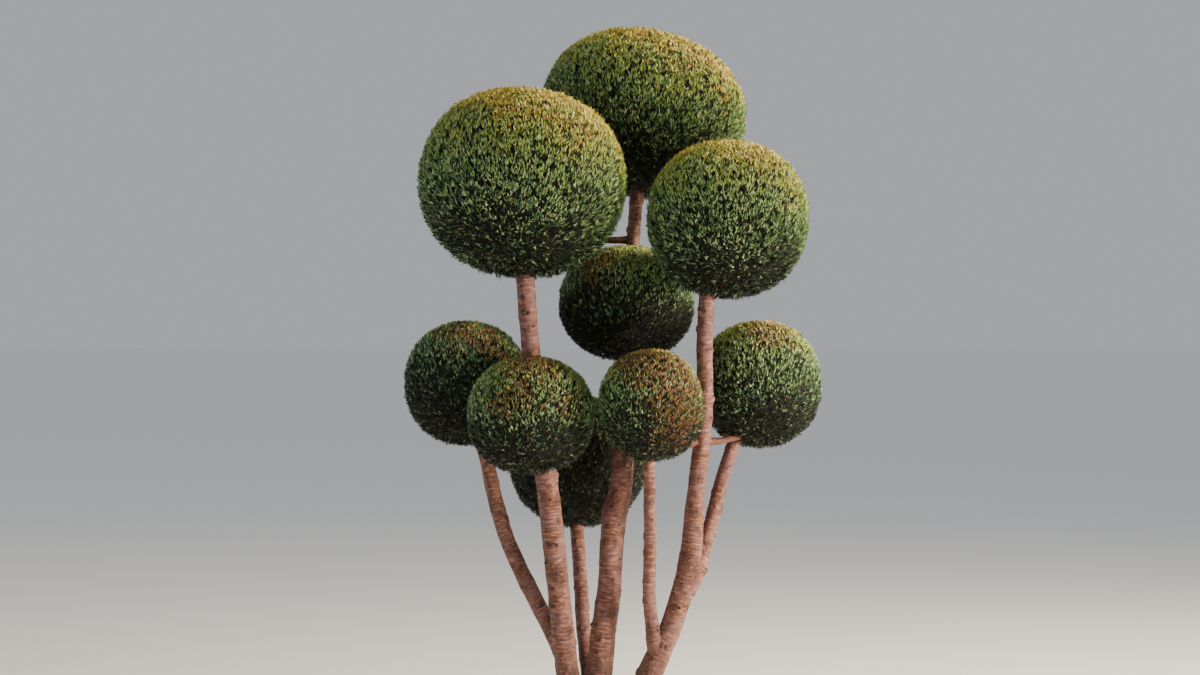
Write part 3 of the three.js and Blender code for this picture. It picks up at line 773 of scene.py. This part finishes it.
for name, colour in tints.items():
    material, _ = newMaterial("spray_" + name, {"Base Color": srgb(*colour), "Roughness": spray["roughness"]})
    tintMaterials.append(material)
# the inside's tones are near black: painted shade of the foliage's depths, speckled with dark olive
insideTones = {"Dark": (6, 8, 4), "Light": (34, 34, 18), "Scale": 130, "Detail": 3, "Low": 0.38, "High": 0.7}
twigTones = {"Dark": (62, 40, 28), "Light": (122, 80, 54), "Scale": 260, "Detail": 2,
             "Low": 0.35, "High": 0.68}
insideMaterial = speckledMaterial("shadedInside", insideTones, {"Roughness": 0.85}, 1, 0.012)
twigMaterial = speckledMaterial("fineTwigBark", twigTones, {"Roughness": 0.8})

# what paints light and shade into a spray's colour: where it faces, as painted light from the key lamp above,
# right and behind; patches of two sizes, as the foliage's own tone; how proud it stands, as painted shade
# deep down; and chance
paintedLightAndTone = {"up": 0.84, "right": 0.11, "back": 0.08, "patch": 0.20, "broad": 0.14, "proud": 0.30, "level": 0.6,
         "scatter": 0.13, "patchSize": 42, "patchScatter": 0.15, "broadSize": 110}
# the level above which each tint is dealt, from dark green on the painted shaded side to gold on the painted
# lit top
paintedLightSteps = {"deepGreen": -0.62, "midGreen": -0.30, "freshGreen": 0.06, "yellowGreen": 0.30, "tipGold": 0.62}
# orange tips, partly the foliage's own colour and partly painted warm light: dealt only on the most strongly
# painted-lit sprays, more on the right towards the key lamp
orange = {"from": 0.56, "share": 0.08, "broad": 0.4, "right": 0.2, "limits": (0.03, 0.20)}
# blue-green sprays in the painted half-shade, more on the left away from the key lamp and in broad patches:
# painted cool shade
coolShade = {"from": -0.7, "to": 0.05, "share": 0.10, "left": 0.25, "broad": 0.6, "limits": (0.02, 0.35)}
# grey-green tips on proud sprays below the lit top: a painted highlight of the sky light, with a darker copy
# where the painted shade is deepest
paintedHighlight = {"proud": 0.5, "share": 0.5, "paintedLightAndToneLevel": 0.5, "right": 0.3, "limits": (0.12, 0.46), "to": 0.5,
        "fade": 0.35, "shadedHighlightBelow": -0.45}
brown = {"wander": 0.25, "oliveShare": 0.6}
# how deep a spray lies before it takes one step, then two steps, of painted shade
paintedShadeDepths, paintedShadeScatter = (0.42, 0.12), 0.08
# patches of red-brown tips on a ball: direction, reach and share of the sprays there
brownPatches = {
    "ball_front_mid": [((-0.05, -0.55, 0.83), 0.7, 0.5), ((0.60, -0.75, 0.20), 0.9, 0.55),
        ((0.40, -0.75, -0.50), 0.6, 0.45)],
    "ball_rear_left": [((-0.1, -0.55, 0.83), 0.5, 0.35), ((0.45, -0.65, 0.60), 0.45, 0.4)],
    "ball_front_left": [((0.0, -0.45, 0.89), 0.6, 0.4), ((-0.30, -0.90, 0.30), 0.4, 0.35),
        ((0.55, -0.80, 0.15), 0.35, 0.3)],
    "ball_right": [((0.15, -0.50, 0.85), 0.6, 0.35)], "ball_centre": [((-0.35, -0.60, 0.70), 0.5, 0.3)]}


def evenDirections(count):
    index = np.arange(count)
    height = 1 - (2 * (index + 0.5)) / count
    reach = np.sqrt(1 - height ** 2)
    turn = math.pi * (3 - math.sqrt(5)) * index
    return np.stack([reach * np.cos(turn), reach * np.sin(turn), height], -1)


# a ball's surface, by the usual approximation for an ellipsoid
def squareMetres(ball):
    a, b, c = ball["radii"]
    power = 1.6
    return 4 * math.pi * (((a * b) ** power + (a * c) ** power + (b * c) ** power) / 3) ** (1 / power) / 1e6


# vectors turned about axes by angles
def turned(vectors, axes, angles):
    c, s = np.cos(angles)[..., None], np.sin(angles)[..., None]
    lengthwise = axes * (axes * vectors).sum(-1, keepdims=True)
    return vectors * c + np.cross(axes, vectors) * s + lengthwise * (1 - c)


limbSamples = np.vstack([np.column_stack([centre, radius]) for centre, _, radius, _ in
                         (routeStations(stem, 8) for stem in [*stems.values(), sawnLeader])])


# true where a point stays off every stem near this ball
def clearOfLimbs(ball, points):
    free = np.ones(len(points), bool)
    for x, y, z, radius in limbSamples[ballShare(ball, limbSamples[:, :3]) < tuft["nearShare"]]:
        free &= np.linalg.norm(points - (x, y, z), axis=1) > radius + tuft["limbClearance"]
    return free


# one mesh from arrays of points in millimetres and three-sided faces
def meshFromFaces(name, points, faces, tintOf=None):
    mesh = bpy.data.meshes.new(name)
    mesh.vertices.add(len(points))
    mesh.vertices.foreach_set("co", (np.asarray(points) * mm).astype(np.float32).ravel())
    mesh.loops.add(len(faces) * 3)
    mesh.loops.foreach_set("vertex_index", np.asarray(faces, np.int32).ravel())
    mesh.polygons.add(len(faces))
    mesh.polygons.foreach_set("loop_start", np.arange(len(faces), dtype=np.int32) * 3)
    if tintOf is not None:
        mesh.polygons.foreach_set("material_index", np.asarray(tintOf, np.int32))
    mesh.update()
    piece = bpy.data.objects.new(name, mesh)
    bpy.context.collection.objects.link(piece)
    bpy.context.view_layer.objects.active = piece


# where tufts stand on every side of a ball, unevenly, each on a twig that leans upward
def growTufts(ball, dice):
    count = int(squareMetres(ball) * tuft["perSquareMetre"] / ball["fine"] ** tuft["finePower"])
    spacing = math.sqrt(4 * math.pi / count)
    towards = unit(evenDirections(count) + dice.normal(0, tuft["unevenness"] * spacing, (count, 3)))
    outward = unit(towards / ball["radii"])
    upward = np.array((0, 0, 1.0)) - outward * outward[:, 2:]
    under = np.clip(-outward[:, 2], 0, 1)
    growth = unit(outward + tuft["lean"] * upward + dice.normal(0, tuft["scatter"], (count, 3)))
    surface = ballPoints(ball, towards, 1.0 - tuft["sink"] * dice.random(count) ** tuft["sinkPower"])
    root = surface - outward * tuft["rootDepth"] * ball["fine"]
    free = clearOfLimbs(ball, surface) & clearOfLimbs(ball, root)
    return [part[free] for part in (root, growth, outward, upward, under, surface)]


# a direction across each of these, the same way round for all
def anyAcross(vectors):
    return unit(np.cross(vectors, np.where(np.abs(vectors[:, 2:]) > 0.9, (1.0, 0, 0), (0, 0, 1.0))))


# the sprays of all tufts: folded, toothed blades that leave their twig outward and curve upward
def growSprays(ball, tufts, dice):
    each, tuftCount = spray["perTuft"], len(tufts[0])
    count = tuftCount * each
    root, twigGrowth, outward, upward, under, _ = (np.repeat(part, each, axis=0) for part in tufts)
    turn = np.repeat(dice.uniform(0, 2 * math.pi, tuftCount), each)
    turn += np.tile(np.arange(each), tuftCount) * 2 * math.pi / each
    aside = turned(anyAcross(twigGrowth), twigGrowth, turn)
    first = unit(twigGrowth + aside * (spray["fan"] * dice.uniform(*spray["fanSpread"], count))[:, None])
    lean = spray["upward"] * (1 - spray["underLess"] * under)
    last = unit(spray["outward"] * outward + upward * lean[:, None] + spray["aside"] * aside
                + dice.normal(0, spray["tipScatter"], (count, 3)))
    last = unit(last + outward * np.maximum(spray["outward"] - (last * outward).sum(1), 0)[:, None])
    length = dice.uniform(*spray["length"], count) * (1 + spray["underLonger"] * under * dice.random(count))
    length *= ball["fine"]
    # a tip past the clipped surface pulls its spray back in, a little unevenly
    reach = spray["reach"] + np.repeat(dice.normal(0, spray["tuftRagged"], tuftCount), each)
    reach += under ** 3 * dice.uniform(*spray["underRagged"], count)
    reach -= spray["ragged"] * dice.random(count)
    tip = root + (0.5 * first + 0.5 * last) * length[:, None]
    pushed = outward * (np.maximum(ballShare(ball, tip) - reach, 0) * sum(ball["radii"]) / 3)[:, None]
    across = turned(unit(np.cross(outward, first + last)), unit(first + last),
                    dice.uniform(-spray["turn"], spray["turn"], count))

    def ribPoint(share):
        path = first * (share - share ** 2 / 2) + last * (share ** 2 / 2)
        return root + path * length[:, None] - pushed * share

    points = np.empty((count, sprayPoints, 3))
    points[:, 0] = root - across * prong["footWidth"]
    points[:, 1] = root + across * prong["footWidth"]
    points[:, 2] = ribPoint(prong["footTip"])
    for i, (leaves, share, aslant) in enumerate(prongs):
        heading = unit(first * (1 - leaves) + last * leaves)
        flat = unit(np.cross(heading, across))
        base = ribPoint(leaves)
        if aslant:
            slant = (aslant * dice.uniform(*prong["slantSpread"], count))[:, None]
            heading = unit(heading + across * slant + prong["pull"] * last)
            reached = base + heading * (length * share * dice.uniform(*prong["reachSpread"], count))[:, None]
            reached -= pushed * (1 - leaves)
        else:
            reached = ribPoint(1.0)
        half = dice.uniform(*prong["halfWidth"], count)[:, None] * ball["fine"]
        sideways = unit(np.cross(flat, heading))
        middle = base + (reached - base) * prong["widest"] - flat * half * prong["fold"]
        start = footPoints + prongPoints * i
        points[:, start] = base
        points[:, start + 1] = middle - sideways * half
        points[:, start + 2] = middle + sideways * half
        points[:, start + 3] = reached
    faces = (np.arange(count)[:, None, None] * sprayPoints + sprayFaces[None]).reshape(-1, 3)
    proud = np.clip((ballShare(ball, tip - pushed) - spray["proudFrom"]) / spray["proudOver"], 0, 1)
    return points.reshape(-1, 3), faces, proud


# which plain colour each spray takes: golden above and dark green below and where it lies deep, painted light
# and shade mixed with the foliage's own tones
def tintsFor(name, spots, outward, proud, dice):
    patch = np.array([noise.noise(Vector(p / paintedLightAndTone["patchSize"])) for p in spots])
    broad = np.array([noise.noise(Vector(p / paintedLightAndTone["broadSize"]) + Vector((7, 3, 1))) for p in spots])
    patch += dice.normal(0, paintedLightAndTone["patchScatter"], len(spots))
    patch, broad, outward = (np.repeat(part, spray["perTuft"], axis=0) for part in (patch, broad, outward))
    right, back, up = outward.T
    count = len(outward)
    # painted light: sprays that face up, right and back, towards the key lamp, come out lighter
    paintedLightAndToneLevel = paintedLightAndTone["up"] * up + paintedLightAndTone["right"] * right + paintedLightAndTone["back"] * back
    paintedLightAndToneLevel = paintedLightAndToneLevel + paintedLightAndTone["patch"] * patch + paintedLightAndTone["broad"] * broad
    # the ball's painted shade, darker for the balls that others shade
    shade = balls[name]["shade"]
    # painted shade: sprays that lie deep come out darker
    paintedLightAndToneLevel += paintedLightAndTone["proud"] * (proud - paintedLightAndTone["level"]) + shade + dice.normal(0, paintedLightAndTone["scatter"], count)
    tint = np.full(count, tintNumber["shadeGreen"])
    for label, low in paintedLightSteps.items():
        tint[paintedLightAndToneLevel > low] = tintNumber[label]
    # orange tips on the most strongly painted-lit sprays, more on the right side that the key lamp lights
    chance = np.clip(orange["share"] + orange["broad"] * (broad + orange["right"] * right), *orange["limits"])
    tint[(paintedLightAndToneLevel > orange["from"]) & (dice.random(count) < chance)] = tintNumber["tipOrange"]
    # painted cool shade: blue-green on the half-shaded sprays, more on the left
    chance = np.clip(coolShade["share"] - coolShade["left"] * right + coolShade["broad"] * broad, *coolShade["limits"])
    tint[(paintedLightAndToneLevel < coolShade["to"]) & (paintedLightAndToneLevel > coolShade["from"]) & (dice.random(count) < chance)] = tintNumber["blueGreen"]
    # painted highlight: grey-green on proud sprays below the painted-lit top, darker where the painted shade
    # is deepest
    chance = paintedHighlight["share"] + paintedHighlight["paintedLightAndToneLevel"] * paintedLightAndToneLevel - paintedHighlight["right"] * np.maximum(right, 0)
    chance = np.clip(chance, *paintedHighlight["limits"]) * np.clip((paintedHighlight["to"] - paintedLightAndToneLevel) / paintedHighlight["fade"], 0, 1)
    paintedHighlit = (proud > paintedHighlight["proud"]) & (dice.random(count) < chance)
    tint[paintedHighlit] = tintNumber["sageTip"]
    tint[paintedHighlit & (paintedLightAndToneLevel < paintedHighlight["shadedHighlightBelow"])] = tintNumber["dullSage"]
    for towards, reach, share in brownPatches.get(name, []):
        far = np.linalg.norm(outward - unit(np.array(towards, float)), axis=1) + brown["wander"] * patch
        within = np.clip(2 - 2 * far / reach, 0, 1)
        tint[dice.random(count) < brown["oliveShare"] * within] = tintNumber["oliveTip"]
        tint[dice.random(count) < share * within] = tintNumber["redBrown"]
    # painted shade: sprays that lie deep take darker tints
    depth = proud + dice.normal(0, paintedShadeScatter, count)
    for limit in paintedShadeDepths:  # deeper sprays darken by one step, the deepest by two
        tint[depth < limit] = paintedShadeTint[tint[depth < limit]]
    return tint


# three-sided twigs from starts to ends
def twigPrisms(starts, ends, radii):
    along = unit(ends - starts)
    across = anyAcross(along)
    aside = np.cross(along, across)
    points = np.empty((len(starts), 6, 3))
    faces = []
    for k in range(3):
        angle = k * 2 * math.pi / 3
        spoke = across * math.cos(angle) + aside * math.sin(angle)
        points[:, k] = starts + spoke * radii[0]
        points[:, 3 + k] = ends + spoke * radii[1]
        n = (k + 1) % 3
        faces += [(k, n, 3 + n), (k, 3 + n, 3 + k)]
    faces = (np.arange(len(starts))[:, None, None] * 6 + np.array(faces)[None]).reshape(-1, 3)
    return points.reshape(-1, 3), faces


# the shaded inside that the sprays stand out of
def shadedInside(ball):
    bpy.ops.mesh.primitive_ico_sphere_add(subdivisions=inner["detail"], radius=1, location=(0, 0, 0))
    mesh = bpy.context.object.data
    directions = unit(placesOf(mesh))
    rough = np.array([noise.noise(Vector(d * inner["coarse"])) for d in directions])
    rough += inner["fineShare"] * np.array([noise.noise(Vector(d * inner["fine"])) for d in directions])
    setPlaces(mesh, ballPoints(ball, directions, inner["share"] + inner["roughness"] * rough) * mm)


# a tint for every face: the foot of a spray is darker, as painted shade, and so is a side prong here and
# there
def faceTints(tint, dice):
    tintOf = np.repeat(tint[:, None], len(sprayFaces), axis=1)
    tintOf[:, 0] = paintedShadeTint[tint]
    for firstFace in (3, 5):
        shadedProng = dice.random(len(tint)) < prong["shadedProngShare"]
        tintOf[shadedProng, firstFace:firstFace + 2] = paintedShadeTint[tint[shadedProng]][:, None]
    return tintOf.ravel()


# boughs from the middle of a ball, and fine twigs that fork from them to the roots of the tufts
def boughsAndTwigs(ball, roots):
    boughs = evenDirections(int(squareMetres(ball) * twigs["boughsPerSquareMetre"]))
    ends = ballPoints(ball, boughs, twigs["boughReach"])
    boughPoints, boughFaces = twigPrisms(np.tile(ball["centre"], (len(ends), 1)), ends, twigs["boughRadii"])
    roots = roots[::twigs["tuftsPerTwig"]]
    towards = unit((roots - ball["centre"]) / ball["radii"])
    nearest = np.argmax(towards @ boughs.T, axis=1)
    own, shared = twigs["lean"]
    starts = ballPoints(ball, unit(own * towards + shared * boughs[nearest]), twigs["root"])
    finePoints, fineFaces = twigPrisms(starts, roots, twigs["radii"])
    return np.vstack([boughPoints, finePoints]), np.vstack([boughFaces, fineFaces + len(boughPoints)])


for name, ball in balls.items():
    dice = np.random.default_rng(100 + ball["seed"])
    shadedInside(ball)
    newPiece(name + "_inside", [insideMaterial], "foliage", name)
    tufts = growTufts(ball, dice)
    roots, _, outward, _, _, spots = tufts
    points, faces, proud = growSprays(ball, tufts, dice)
    tint = tintsFor(name, spots, outward, proud, dice)
    meshFromFaces(name + "_sprays", points, faces, faceTints(tint, dice))
    newPiece(name + "_sprays", tintMaterials, "foliage", name)
    meshFromFaces(name + "_twigs", *boughsAndTwigs(ball, roots))
    newPiece(name + "_twigs", [twigMaterial], "foliage", name)
    print(name, len(faces), "spray faces")
